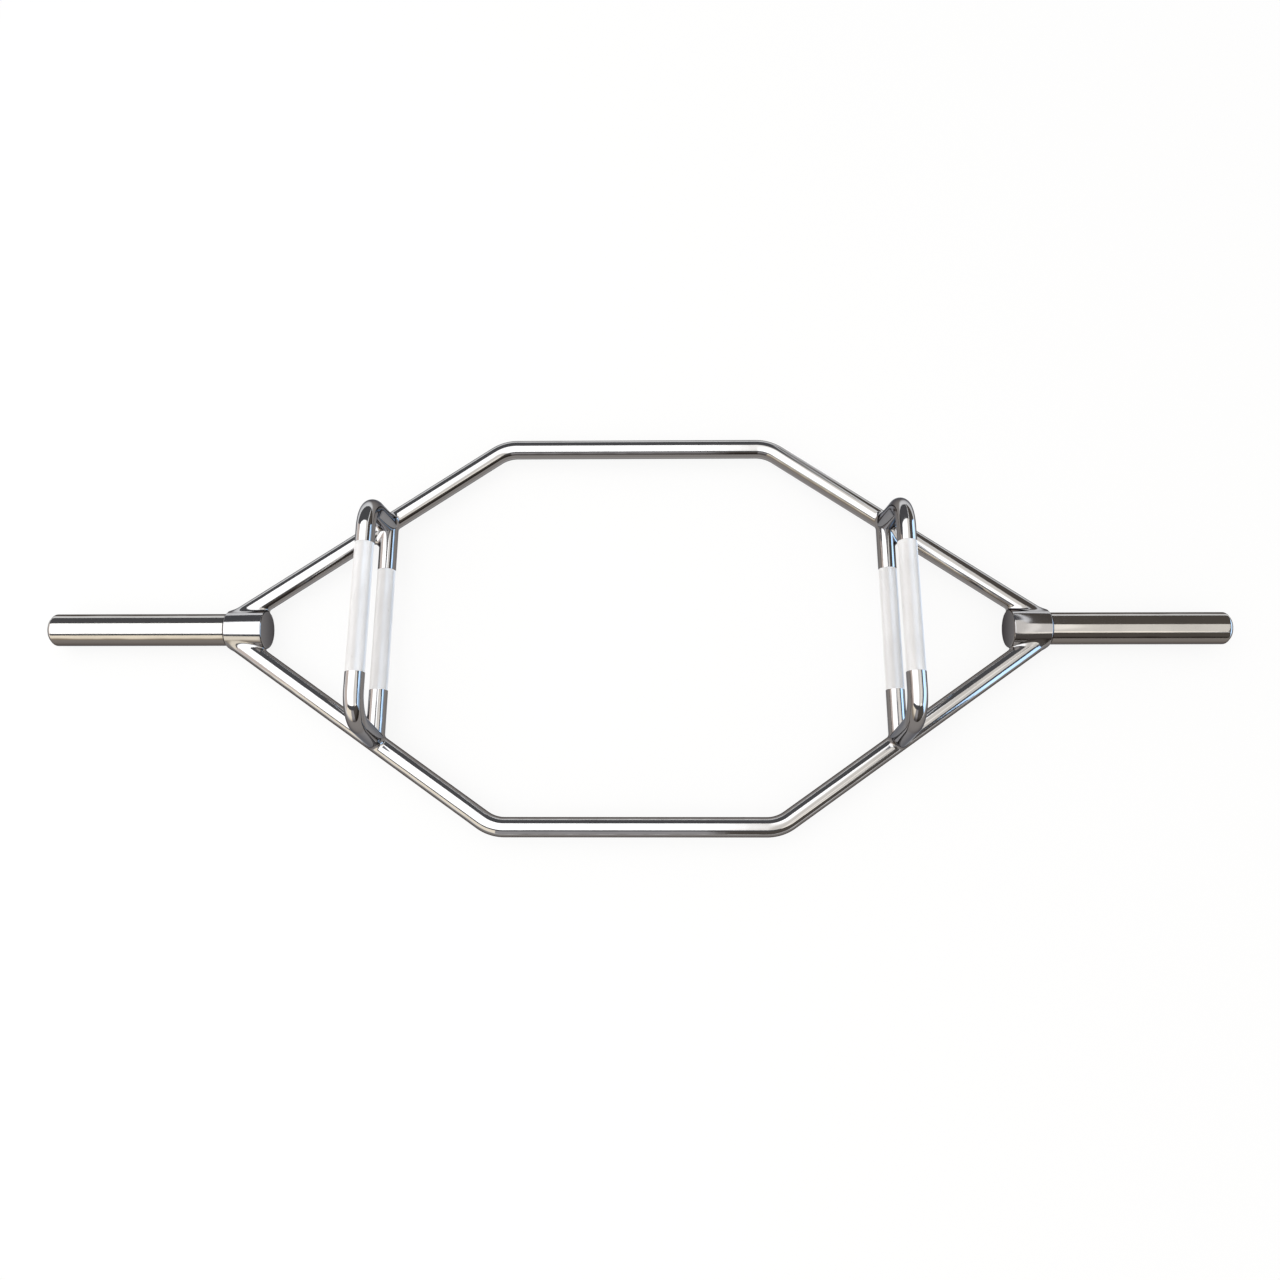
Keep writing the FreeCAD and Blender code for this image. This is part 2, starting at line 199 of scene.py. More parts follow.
class Nodes:
    """The node tree of a material or of the world."""

    def __init__(self, owner):
        owner.use_nodes = True
        self.tree = owner.node_tree
        self.tree.nodes.clear()

    def node(self, kind, settings=None, values=None):
        """Makes a node, sets it up and fills or links its sockets."""
        made = self.tree.nodes.new(kind)
        for key, value in (settings or {}).items():
            setattr(made, key, value)
        for key, value in (values or {}).items():
            if isinstance(value, Value):
                self.tree.links.new(value.socket, made.inputs[key])
            else:
                made.inputs[key].default_value = value
        return made

    def out(self, kind, socket, settings=None, values=None):
        """Makes a node and gives one of its outputs."""
        return Value(self, self.node(kind, settings, values).outputs[socket])

    def show(self, shader, output="ShaderNodeOutputMaterial"):
        """Ends the tree with a shader."""
        self.node(output, None, {"Surface": shader})

    def math(self, operation, *numbers):
        """Plain arithmetic."""
        return self.out("ShaderNodeMath", 0, {"operation": operation}, dict(enumerate(numbers)))

    def ramp(self, value, low, high, bottom=0.0, top=1.0):
        """A smooth step of a value, from one level to another."""
        return self.out("ShaderNodeMapRange", 0, {"interpolation_type": "SMOOTHSTEP"},
                        {"Value": value, "From Min": low, "From Max": high, "To Min": bottom, "To Max": top})

    def mix(self, factor, first, second):
        """A blend of two colours."""
        return self.out("ShaderNodeMix", 2, {"data_type": "RGBA"}, {0: factor, 6: first, 7: second})

    def blend(self, factor, first, second):
        """A blend of two shaders."""
        return self.out("ShaderNodeMixShader", 0, None, {0: factor, 1: first, 2: second})

    def glow(self, tint, strength):
        """An even glow."""
        return self.out("ShaderNodeEmission", 0, None, {"Color": rgba(tint), "Strength": strength})

    def spot(self):
        """The place on the piece."""
        return self.out("ShaderNodeTexCoord", "Object")

    def part(self, vector, axis):
        """One part of a vector."""
        return self.out("ShaderNodeSeparateXYZ", axis, None, {0: vector})

    def noise(self, grains, detail=2.0, roughness=0.5):
        """Noise over the piece, with so many grains a metre along each axis."""
        place = self.out("ShaderNodeVectorMath", 0, {"operation": "MULTIPLY"}, {0: self.spot(), 1: grains})
        return self.out("ShaderNodeTexNoise", 0, None, {
            "Vector": place, "Scale": 1.0, "Detail": detail, "Roughness": roughness})


def rgba(tint, level=1.0):
    """A colour with its alpha, brightened or dimmed."""
    return (*(part * level for part in tint), 1.0)


def even(grains):
    """The same number of grains along each axis."""
    return (grains,) * 3


def new_material(name):
    """A new material and its empty nodes."""
    material = bpy.data.materials.new(name)
    return material, Nodes(material)


# Finishes. Grains are counted in a metre along each axis, a facing of 1 is straight up, and a range is where
# the effect of a noise starts and ends.

SMEAR_GRAINS, SPECK_GRAINS = even(14), even(900)
TURNED_LINES, POLISHED_LINES, WELD_LINES = (2500, 12, 12), even(60), even(300)
# Painted reflection: between these facings the base colour turns to the darker side colour, and towards
# upright and downward faces to a second tone; the wander makes that edge waver.
TOP_FACING, SIDE_FACING = 0.74, 0.62
LOW_SIDE_FACING, BELOW_FACING = 0.25, 0.0
FACING_WANDER = 0.1
SMEAR_TONE_RANGE, SMEARED_COLOUR_SHARE = (0.42, 0.75), 0.9
SMEAR_GLOSS_RANGE, SMEARED_GLOSS_SHARE = (0.35, 0.7), 1.9
LINE_RANGE, LINE_GLOSS, LINE_RELIEF = (0.5, 0.72), 0.035, 0.02
PIT_SPECK_RANGE, PIT_SMEAR_RANGE = (0.72, 0.8), (0.5, 0.65)
PIT_COLOUR_SHARE, PIT_STRENGTH = 0.6, 0.5
RELIEF_STRENGTH, RELIEF_HEIGHT = 0.35, 0.0003


def chrome(name, top, sides, painted_reflection_below, edge, rough, grain, ripple):
    """Bright plating: smears in its gloss, fine lines along the grain, a slight waviness,
    and painted reflection: darker sides and another tone underneath, by the way each face points, which keep
    the outline of a bar on a pale floor."""
    material, nodes = new_material(name)
    smear = nodes.noise(SMEAR_GRAINS, 3.0)
    lines = nodes.noise(grain)
    specks = nodes.noise(SPECK_GRAINS, 1.0)
    wave = nodes.noise(even(ripple), 1.0)
    facing = nodes.part(nodes.out("ShaderNodeNewGeometry", "Normal"), "Z")
    # Painted reflection: darker sides and another tone underneath, put into the base colour by the way each
    # face points.
    aside = nodes.ramp(facing + (wave - 0.5) * FACING_WANDER, TOP_FACING, SIDE_FACING)
    painted_underside_mask = nodes.ramp(facing, LOW_SIDE_FACING, BELOW_FACING)
    upper = nodes.mix(nodes.ramp(smear, *SMEAR_TONE_RANGE), rgba(top), rgba(top, SMEARED_COLOUR_SHARE))
    painted_side_reflection = nodes.mix(painted_underside_mask, rgba(sides), rgba(painted_reflection_below))
    tone = nodes.mix(aside, upper, painted_side_reflection)
    pits = nodes.ramp(specks, *PIT_SPECK_RANGE) * nodes.ramp(smear, *PIT_SMEAR_RANGE)
    base = nodes.mix(pits * PIT_STRENGTH, tone, rgba(sides, PIT_COLOUR_SHARE))
    gloss = nodes.ramp(smear, *SMEAR_GLOSS_RANGE, rough, rough * SMEARED_GLOSS_SHARE)
    gloss += nodes.ramp(lines, *LINE_RANGE, 0.0, LINE_GLOSS)
    bump = nodes.out("ShaderNodeBump", "Normal", None, {
        "Strength": RELIEF_STRENGTH, "Distance": RELIEF_HEIGHT, "Height": wave + lines * LINE_RELIEF})
    nodes.show(nodes.out("ShaderNodeBsdfPrincipled", "BSDF", None, {
        "Base Color": base, "Metallic": 1.0, "Roughness": gloss, "Normal": bump,
        "Specular Tint": rgba(edge)}))
    return material


WEAR_GRAINS, SCUFF_GRAINS = (20, 12, 20), (160, 60, 160)
WEAR_TONE_RANGE, WORN_COLOUR_SHARE = (0.35, 0.7), 0.92
WEAR_GLOSS_RANGE, FRESH_GLOSS, WORN_GLOSS = (0.3, 0.7), 0.34, 0.46
SCUFF_RANGE, SCUFF_WEAR_RANGE, SCUFF_STRENGTH = (0.66, 0.78), (0.5, 0.62), 0.6
# Painted shade: the grooves between the knurl's points are greyed by their depth.
HOLLOW_SHADE_DEPTH_SHARE, HOLLOW_SHADE_STRENGTH = 0.4, 0.3
GRIP_METAL = 0.6


def knurled(name, points, scuff_and_shade_colour):
    """Plated knurling: satin, with wear in places, and painted shade that greys the grooves between its
    points.
    """
    sizes = bpy.context.scene.bar_sizes
    material, nodes = new_material(name)
    spot = nodes.spot()
    aside = nodes.math("ABSOLUTE", nodes.part(spot, "X")) - sizes.handle_spacing / 2
    up = nodes.part(spot, "Z") - axis_height()
    up -= nodes.math("GREATER_THAN", up, sizes.raised_height / 2) * sizes.raised_height
    distance = nodes.math("SQRT", aside * aside + up * up)
    root = sizes.handle_radius - sizes.knurl_depth
    # Painted shade in the grooves, by distance from the handle's axis.
    hollow_shade = nodes.ramp(distance, root + sizes.knurl_depth * HOLLOW_SHADE_DEPTH_SHARE, root)
    wear = nodes.noise(WEAR_GRAINS, 3.0)
    scratches = nodes.noise(SCUFF_GRAINS, 4.0, 0.65)
    scuffs = nodes.ramp(scratches, *SCUFF_RANGE) * nodes.ramp(wear, *SCUFF_WEAR_RANGE)
    scuffs_and_hollow_shade = nodes.math("MAXIMUM", scuffs * SCUFF_STRENGTH, hollow_shade * HOLLOW_SHADE_STRENGTH)
    tone = nodes.mix(nodes.ramp(wear, *WEAR_TONE_RANGE), rgba(points), rgba(points, WORN_COLOUR_SHARE))
    nodes.show(nodes.out("ShaderNodeBsdfPrincipled", "BSDF", None, {
        "Base Color": nodes.mix(scuffs_and_hollow_shade, tone, rgba(scuff_and_shade_colour)), "Metallic": GRIP_METAL,
        "Roughness": nodes.ramp(wear, *WEAR_GLOSS_RANGE, FRESH_GLOSS, WORN_GLOSS)}))
    return material


# For each slot: what makes it, its colours and, for chrome, its roughness, fine lines and ripples.
FINISHES = {
    "frame_chrome": (chrome, ("frame", "sides", "painted_reflection_below", "edge"), 0.05, POLISHED_LINES, 45),
    "collar_chrome": (chrome, ("collar", "sides", "collar_below", "edge"), 0.07, TURNED_LINES, 30),
    "sleeve_chrome": (chrome, ("sleeve", "sleeve_sides", "painted_reflection_below", "edge"), 0.06, TURNED_LINES, 22),
    "handle_chrome": (chrome, ("handle", "sides", "painted_reflection_below", "soft_edge"), 0.05, POLISHED_LINES, 45),
    "weld_chrome": (chrome, ("weld", "sides", "painted_reflection_below", "soft_edge"), 0.08, WELD_LINES, 60),
    "grip_knurl": (knurled, ("grip", "grip_scuff_and_shade")),
}


def finish(slot):
    """The material of a slot, made on its first use."""
    name = f"{slot}_finish"
    material = bpy.data.materials.get(name)
    if material is None:
        maker, tones, *settings = FINISHES[slot]
        colours = bpy.context.scene.finish_colours
        material = maker(name, *(getattr(colours, tone) for tone in tones), *settings)
    return material


# Meshes.

RIM_ANGLE = radians(20)
CREASE_ANGLE = radians(32)
CHAMFER_ANGLES = radians(30), radians(60)
PLUG_ROUND_SHARE = 1 / 3
MERGE_SHARE = 0.1
KNURL_INDEX = 1


class Bar:
    """A round bar that grows ring by ring from its start."""

    def __init__(self, bm, start, along, radius, around):
        self.bm, self.radius = bm, radius
        self.place, self.along = Vector(start), Vector(along).normalized()
        turn = self.along.to_track_quat("Z", "Y").to_matrix().to_4x4()
        bmesh.ops.create_circle(bm, segments=around, radius=radius, matrix=Matrix.Translation(start) @ turn)
        self.edges = [edge for edge in bm.edges if edge.is_wire]
        self.first = self.ring()

    def ring(self):
        """The corners of the newest ring."""
        return list(dict.fromkeys(vert for edge in self.edges for vert in edge.verts))

    def grow(self, distance, radius=None):
        """Straight on, or tapering to a new radius. Gives the new faces."""
        made = bmesh.ops.extrude_edge_only(self.bm, edges=self.edges)["geom"]
        self.edges = [item for item in made if isinstance(item, bmesh.types.BMEdge) and item.is_boundary]
        bmesh.ops.translate(self.bm, verts=self.ring(), vec=self.along * distance)
        self.place += self.along * distance
        if radius is not None:
            share = radius / self.radius
            centre = Matrix.Translation(-self.place)
            bmesh.ops.scale(self.bm, verts=self.ring(), vec=(share,) * 3, space=centre)
            self.radius = radius
        return [edge.link_faces[0] for edge in self.edges]

    def bend(self, radius, turn, axis, steps):
        """Round a bend about an axis."""
        axis = Vector(axis)
        centre = self.place + axis.cross(self.along) * radius
        last = bmesh.ops.spin(self.bm, geom=self.ring() + self.edges, cent=centre, axis=axis, angle=turn,
                              steps=steps)["geom_last"]
        self.edges = [item for item in last if isinstance(item, bmesh.types.BMEdge)]
        rotation = Matrix.Rotation(turn, 3, axis)
        self.place = centre + rotation @ (self.place - centre)
        self.along = rotation @ self.along

    def grip(self, distance, rows, root):
        """A band cut down for knurling. Gives its faces."""
        full = self.radius
        self.grow(0, root)
        faces = [face for _ in range(rows) for face in self.grow(distance / rows)]
        self.grow(0, full)
        return faces

    def close(self):
        """Fills both ends."""
        rims = [edge for edge in self.bm.edges if edge.is_boundary]
        bmesh.ops.holes_fill(self.bm, edges=rims, sides=0)
        bmesh.ops.recalc_face_normals(self.bm, faces=self.bm.faces)


def cope(verts, along, centre, axis, radius):
    """Slides a bar's end back along the bar to the surface of a round bar that it meets."""
    along, axis = Vector(along).normalized(), Vector(axis).normalized()
    across = along - axis * along.dot(axis)
    for vert in verts:
        off = vert.co - centre
        off -= axis * off.dot(axis)
        half = off.dot(across) / across.length_squared
        spread = half * half - (off.length_squared - radius * radius) / across.length_squared
        vert.co -= along * (half + sqrt(max(spread, 0.0)))


def cut_knurl(bm, band, depth):
    """Turns a band of square faces into rows of pointed diamonds."""
    inside = set(band)
    edges = dict.fromkeys(edge for face in band for edge in face.edges)
    seams = [edge for edge in edges if inside.issuperset(edge.link_faces)]
    for face in bmesh.ops.poke(bm, faces=band)["faces"]:
        face.material_index = KNURL_INDEX
    bmesh.ops.dissolve_edges(bm, edges=seams, use_verts=False)
    diamonds = [face for face in bm.faces if face.material_index == KNURL_INDEX]
    for face in bmesh.ops.poke(bm, faces=diamonds, offset=depth)["faces"]:
        face.smooth = False


def round_edges(bm, rims, width, steps):
    """Rounds the rims of a turned piece."""
    bmesh.ops.bevel(bm, geom=rims, offset=width, offset_type="OFFSET", affect="EDGES", segments=steps,
                    profile=0.5, material=-1, clamp_overlap=True)


def smooth(bm):
    """Smooth shading with crisp corners."""
    for face in bm.faces:
        face.smooth = True
    for edge in bm.edges:
        edge.smooth = edge.calc_face_angle(0.0) < CREASE_ANGLE


def add_piece(bm, node, how, *slots):
    """Makes a piece of a mesh, in place of its CAD node. The first slot is the piece's own."""
    name = f"{node}_{how}"
    mesh = bpy.data.meshes.new(name)
    bm.to_mesh(mesh)
    bm.free()
    for slot in slots:
        mesh.materials.append(finish(slot))
    piece = bpy.data.objects.new(name, mesh)
    bpy.context.scene.collection.objects.link(piece)
    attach(piece, BODY)
    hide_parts(node)


def axis_height():
    """Height of the sleeves' axis: the collars rest on the floor."""
    return bpy.context.scene.bar_sizes.collar_radius


def reach(node):
    """How far from the middle a piece of one side starts and ends, along X."""
    return sorted(abs(corner[0]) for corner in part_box(node))


# Pieces.

class TRAPBAR_OT_frame_tubes(bpy.types.Operator):
    """Make the two bent frame tubes"""

    bl_idname = "trapbar.frame_tubes"
    bl_label = "Frame tubes"
    bl_options = {"REGISTER", "UNDO"}

    def execute(self, context):
        for end, side in ENDS:
            self.tube(context.scene.bar_sizes, context.scene.mesh_counts, f"{end}_frame_tube", side)
        return {"FINISHED"}

    def tube(self, sizes, counts, node, side):
        """From the left collar round both corners to the right collar."""
        offset, corner = side * sizes.frame_depth / 2, sizes.corner_spacing / 2
        tangent = sizes.tube_bend * tan(sizes.splay / 2)
        cross = corner + abs(offset) / tan(sizes.splay)
        slant = Vector((cross - corner, offset, 0))
        level = Vector((0, 0, axis_height()))
        axis = Vector((0, 0, -side))
        bm = bmesh.new()
        bar = Bar(bm, level - Vector((cross, 0, 0)), slant, sizes.tube_radius, counts.around)
        bar.grow(slant.length - tangent)
        bar.bend(sizes.tube_bend, sizes.splay, axis, counts.bend_steps)
        bar.grow(sizes.corner_spacing - 2 * tangent)
        bar.bend(sizes.tube_bend, sizes.splay, axis, counts.bend_steps)
        bar.grow(slant.length - tangent)
        cope(bar.first, -slant, level, (1, 0, 0), sizes.collar_radius)
        cope(bar.ring(), bar.along, level, (1, 0, 0), sizes.collar_radius)
        bar.close()
        smooth(bm)
        add_piece(bm, node, "bent", "frame_chrome")


class TRAPBAR_OT_collars(bpy.types.Operator):
    """Make the two turned collars"""

    bl_idname = "trapbar.collars"
    bl_label = "Collars"
    bl_options = {"REGISTER", "UNDO"}

    def execute(self, context):
        for name, side in SIDES:
            self.collar(context.scene.bar_sizes, context.scene.mesh_counts, name, side)
        return {"FINISHED"}

    def collar(self, sizes, counts, name, side):
        """From the inner face out to the sleeve, and on as a spigot inside it."""
        node = f"{name}_collar"
        inner, outer = reach(node)[0], reach(f"{name}_sleeve")[0]
        start, face_radius = (side * inner, 0, axis_height()), sizes.collar_radius - sizes.collar_edge
        bm = bmesh.new()
        bar = Bar(bm, start, (side, 0, 0), face_radius, counts.turned_around)
        bar.grow(sizes.collar_edge, sizes.collar_radius)
        bar.grow(outer - inner - sizes.collar_edge - sizes.collar_chamfer)
        bar.grow(sizes.collar_chamfer, sizes.collar_radius - sizes.collar_chamfer)
        bar.grow(0, sizes.bore_radius)
        bar.grow(sizes.spigot_length)
        bar.close()
        rims = [edge for edge in bm.edges if edge.calc_face_angle(0.0) > RIM_ANGLE]
        round_edges(bm, rims, sizes.edge_round, counts.edge_steps)
        smooth(bm)
        add_piece(bm, node, "turned", "collar_chrome")


class TRAPBAR_OT_sleeves(bpy.types.Operator):
    """Make the two sleeves and their end plugs"""

    bl_idname = "trapbar.sleeves"
    bl_label = "Sleeves"
    bl_options = {"REGISTER", "UNDO"}

    def execute(self, context):
        sizes, counts = context.scene.bar_sizes, context.scene.mesh_counts
        for name, side in SIDES:
            self.sleeve(sizes, counts, f"{name}_sleeve", side)
            self.plug(sizes, counts, f"{name}_sleeve_plug", side)
        return {"FINISHED"}

    def sleeve(self, sizes, counts, node, side):
        """A tube, from its inner rim out, round the outer rim and back through the bore."""
        start, end = reach(node)
        bm = bmesh.new()
        bar = Bar(bm, (side * start, 0, axis_height()), (side, 0, 0), sizes.bore_radius, counts.turned_around)
        bar.grow(0, sizes.sleeve_radius)
        bar.grow(end - start)
        bar.grow(0, sizes.bore_radius)
        bar.grow(start - end)
        bmesh.ops.remove_doubles(bm, verts=bm.verts, dist=sizes.edge_round * MERGE_SHARE)
        bmesh.ops.recalc_face_normals(bm, faces=bm.faces)
        smooth(bm)
        add_piece(bm, node, "ground", "sleeve_chrome")

    def plug(self, sizes, counts, node, side):
        """A stopper whose chamfered head has softened edges."""
        start, end = reach(node)
        bm = bmesh.new()
        bar = Bar(bm, (side * start, 0, axis_height()), (side, 0, 0), sizes.bore_radius, counts.turned_around)
        bar.grow(end - start - sizes.plug_flange)
        bar.grow(0, sizes.sleeve_radius)
        bar.grow(sizes.plug_flange - sizes.plug_chamfer)
        bar.grow(sizes.plug_chamfer, sizes.sleeve_radius - sizes.plug_chamfer)
        bar.close()
        least, most = CHAMFER_ANGLES
        rims = [edge for edge in bm.edges if least < edge.calc_face_angle(0.0) < most]
        round_edges(bm, rims, sizes.plug_chamfer * PLUG_ROUND_SHARE, counts.edge_steps + 1)
        smooth(bm)
        add_piece(bm, node, "turned", "sleeve_chrome")


def handle_end(sizes):
    """Distance from the middle to where a handle's centre line meets the frame tube's."""
    return sizes.frame_depth / 2 - (sizes.handle_spacing - sizes.corner_spacing) / 2 * tan(sizes.splay)


def seat(sizes, side, end):
    """A point on a slanted run's centre line at a handle, and that run's direction."""
    place = Vector((side * sizes.handle_spacing / 2, end * handle_end(sizes), axis_height()))
    return place, Vector((side, -end * tan(sizes.splay), 0))


class TRAPBAR_OT_low_handles(bpy.types.Operator):
    """Make the two low handles with their knurled grips"""

    bl_idname = "trapbar.low_handles"
    bl_label = "Low handles"
    bl_options = {"REGISTER", "UNDO"}

    def execute(self, context):
        for name, side in SIDES:
            self.handle(context.scene.bar_sizes, context.scene.mesh_counts, f"{name}_low_handle", side)
        return {"FINISHED"}

    def handle(self, sizes, counts, node, side):
        """From the front frame tube straight to the rear one."""
        front, front_run = seat(sizes, side, -1)
        rear, rear_run = seat(sizes, side, 1)
        plain = (rear.y - front.y - sizes.grip_length) / 2
        bm = bmesh.new()
        bar = Bar(bm, front, (0, 1, 0), sizes.handle_radius, counts.around)
        bar.grow(plain)
        band = bar.grip(sizes.grip_length, counts.knurl_rows, sizes.handle_radius - sizes.knurl_depth)
        bar.grow(plain)
        cope(bar.first, (0, -1, 0), front, front_run, sizes.tube_radius)
        cope(bar.ring(), (0, 1, 0), rear, rear_run, sizes.tube_radius)
        bar.close()
        smooth(bm)
        cut_knurl(bm, band, sizes.knurl_depth)
        add_piece(bm, node, "knurled", "handle_chrome", "grip_knurl")


class TRAPBAR_OT_raised_handles(bpy.types.Operator):
    """Make the two raised handles with their legs and knurled grips"""

    bl_idname = "trapbar.raised_handles"
    bl_label = "Raised handles"
    bl_options = {"REGISTER", "UNDO"}

    def execute(self, context):
        for name, side in SIDES:
            self.handle(context.scene.bar_sizes, context.scene.mesh_counts, f"{name}_raised_handle", side)
        return {"FINISHED"}

    def handle(self, sizes, counts, node, side):
        """From the front foot up, along the grip and down to the rear foot."""
        front, front_run = seat(sizes, side, -1)
        rear, rear_run = seat(sizes, side, 1)
        foot = handle_end(sizes) - sizes.foot_inset
        leg = Vector((0, sizes.raised_height * tan(sizes.lean), sizes.raised_height))
        turn = Vector((0, 1, 0)).angle(leg)
        tangent = sizes.raised_bend * tan(turn / 2)
        plain = foot - leg.y - tangent - sizes.grip_length / 2
        bm = bmesh.new()
        bar = Bar(bm, (front.x, -foot, front.z), leg, sizes.handle_radius, counts.around)
        bar.grow(leg.length - tangent)
        bar.bend(sizes.raised_bend, turn, (-1, 0, 0), counts.bend_steps)
        bar.grow(plain)
        band = bar.grip(sizes.grip_length, counts.knurl_rows, sizes.handle_radius - sizes.knurl_depth)
        bar.grow(plain)
        bar.bend(sizes.raised_bend, turn, (-1, 0, 0), counts.bend_steps)
        bar.grow(leg.length - tangent)
        cope(bar.first, -leg, front, front_run, sizes.tube_radius)
        cope(bar.ring(), bar.along, rear, rear_run, sizes.tube_radius)
        bar.close()
        smooth(bm)
        cut_knurl(bm, band, sizes.knurl_depth)
        add_piece(bm, node, "knurled", "handle_chrome", "grip_knurl")


class TRAPBAR_OT_collar_welds(bpy.types.Operator):
    """Make the hollow welds between the slanted runs and the collars"""

    bl_idname = "trapbar.collar_welds"
    bl_label = "Collar welds"
    bl_options = {"REGISTER", "UNDO"}

    def execute(self, context):
        sizes, counts = context.scene.bar_sizes, context.scene.mesh_counts
        bm = bmesh.new()
        for name, side in SIDES:
            inner, outer = reach(f"{name}_collar")[0], reach(f"{name}_sleeve")[0]
            limits = inner + sizes.collar_edge, outer - sizes.collar_chamfer
            for _, end in ENDS:
                self.bead(bm, sizes, counts, side, end, limits)
        bmesh.ops.recalc_face_normals(bm, faces=bm.faces)
        smooth(bm)
        add_piece(bm, "collar_welds", "laid", "weld_chrome")
        return {"FINISHED"}

    def bead(self, bm, sizes, counts, side, end, limits):
        """From the seam out along the collar, then in a hollow curve up to the tube."""
        cross = sizes.corner_spacing / 2 + sizes.frame_depth / 2 / tan(sizes.splay)
        away = Vector((-side * cos(sizes.splay), end * sin(sizes.splay), 0))
        bar = Bar(bm, (side * cross, 0, axis_height()), away, sizes.tube_radius, counts.around)
        seam = bar.edges
        self.lay(bar, sizes, limits, 0, 0)
        for step in range(counts.weld_steps + 1):
            share = step / counts.weld_steps
            bar.grow(0)
            self.lay(bar, sizes, limits, (1 - share) ** 2, share ** 2)
        bmesh.ops.bridge_loops(bm, edges=seam + bar.edges)

    def lay(self, bar, sizes, limits, out, up):
        """Sets the newest ring by its shares of the weld's width and rise, within the collar's ends."""
        ring = bar.ring()
        for vert in ring:
            off = vert.co - bar.place
            radial = (off - bar.along * off.dot(bar.along)).normalized()
            vert.co = bar.place + radial * (sizes.tube_radius + sizes.weld_width * out)
        cope(ring, -bar.along, bar.place, (1, 0, 0), sizes.collar_radius)
        for vert in ring:
            vert.co.x = copysign(min(max(abs(vert.co.x), limits[0]), limits[1]), vert.co.x)
        bmesh.ops.translate(bar.bm, verts=ring, vec=bar.along * sizes.weld_rise * up)


class TRAPBAR_OT_handle_welds(bpy.types.Operator):
    """Plate the welds of the handles"""

    bl_idname = "trapbar.handle_welds"
    bl_label = "Handle welds"
    bl_options = {"REGISTER", "UNDO"}

    def execute(self, context):
        for name, _ in SIDES:
            for slot in frame["nodes"][f"{name}_handle_welds"].material_slots:
                slot.material = finish("weld_chrome")
        return {"FINISHED"}


# Studio. Its cards hang between these places: left, right and side on X, front and rear on Y, top and bottom
# on Z. The foot of a wall is where it would stand on the floor, on X or Y.

ROOM_LEFT, ROOM_RIGHT = -9.0, 9.0
PANEL_LEFT, PANEL_SPLIT, PANEL_RIGHT = -4.4, 1.5, 3.0
PANEL_FRONT, PANEL_REAR = -2.5, 2.0
RIGHT_PANEL_FRONT, RIGHT_PANEL_REAR = -2.1, 0.7
CREAM_FRONT = -2.8
WHITE_FADE, LIGHT_FADE = (0.2, 0.75), (1.84, 1.94)
REAR_WALL, REAR_WALL_BOTTOM, RIGHT_REAR_WALL_BOTTOM = 4.2, 0.35, 0.05
FRONT_WALL, FRONT_WALL_FOOT, FRONT_WALL_DROP = -3.8, -4.2, 0.1
BEIGE_RIGHT, DULL_RIGHT = -1.6, 0.4
LEFT_WALL_FOOT = -4.8
WINDOW_SIDE, WINDOW_TOP = 4.0, 2.4

# The tint and strength of each glow.
GREY_GLOW = (1.0, 0.95, 0.88), 0.88
LIGHT_GLOW = (1.0, 0.95, 0.88), 1.25
CREAM_GLOW = (1.0, 0.94, 0.84), 1.35
BEIGE_GLOW = (1.0, 0.9, 0.74), 1.15
DULL_GLOW = (1.0, 0.96, 0.97), 0.38
WINDOW_GLOW = (0.5, 0.72, 1.0), 2.1
WARM_GLOW = (1.0, 0.86, 0.78), 0.8
DARK_GLOW = (0.95, 0.95, 1.0), 0.1
BROWN_GLOW = (1.0, 0.87, 0.76), 0.1

WHITE = (1.0, 1.0, 1.0)
FLOOR_GRAINS, FLOOR_GRAIN_SHARE = even(3), 0.985
FLOOR_WHITE_SHARE = 0.85
SHADOW_FADE = 0.9, 3.0


def glowing(name, glow):
    """A card's surface, which glows evenly."""
    material, nodes = new_material(name)
    nodes.show(nodes.glow(*glow))
    return material


def fading(name, first, second, fade):
    """A card's surface, which passes along X from one glow to another."""
    material, nodes = new_material(name)
    share = nodes.ramp(nodes.part(nodes.spot(), "X"), *fade)
    nodes.show(nodes.blend(share, nodes.glow(*first), nodes.glow(*second)))
    return material


def seen(nodes):
    """1 for what the camera sees itself or in the chrome, and 0 for light that falls on a surface."""
    path = nodes.node("ShaderNodeLightPath")
    kinds = [Value(nodes, path.outputs[f"Is {kind} Ray"]) for kind in ("Camera", "Glossy", "Transmission")]
    return nodes.math("MINIMUM", sum(kinds[1:], kinds[0]), 1.0)


def floor_material(tint):
    """A pale floor that shows as white, and takes a soft shadow near the part."""
    material, nodes = new_material("studio_floor")
    tone = nodes.mix(nodes.noise(FLOOR_GRAINS), rgba(tint), rgba(tint, FLOOR_GRAIN_SHARE))
    matt = nodes.out("ShaderNodeBsdfDiffuse", 0, None, {"Color": tone})
    distance = nodes.out("ShaderNodeVectorMath", "Value", {"operation": "LENGTH"}, {0: nodes.spot()})
    share = nodes.ramp(distance, *SHADOW_FADE, FLOOR_WHITE_SHARE, 1.0)
    nodes.show(nodes.blend(seen(nodes) * share, matt, nodes.glow(WHITE, 1.0)))
    return material


def card(name, material, corner, along, across):
    """A flat card of the stage, from a corner along two of its edges."""
    along, across = Vector(along), Vector(across)
    place = Matrix((along, across, along.cross(across))).transposed().to_4x4()
    place.translation = Vector(corner) + (along + across) / 2
    bm = bmesh.new()
    bmesh.ops.create_grid(bm, x_segments=1, y_segments=1, size=0.5, matrix=place)
    mesh = bpy.data.meshes.new(name)
    bm.to_mesh(mesh)
    bm.free()
    mesh.materials.append(material)
    flat = bpy.data.objects.new(name, mesh)
    bpy.context.scene.collection.objects.link(flat)
    return flat


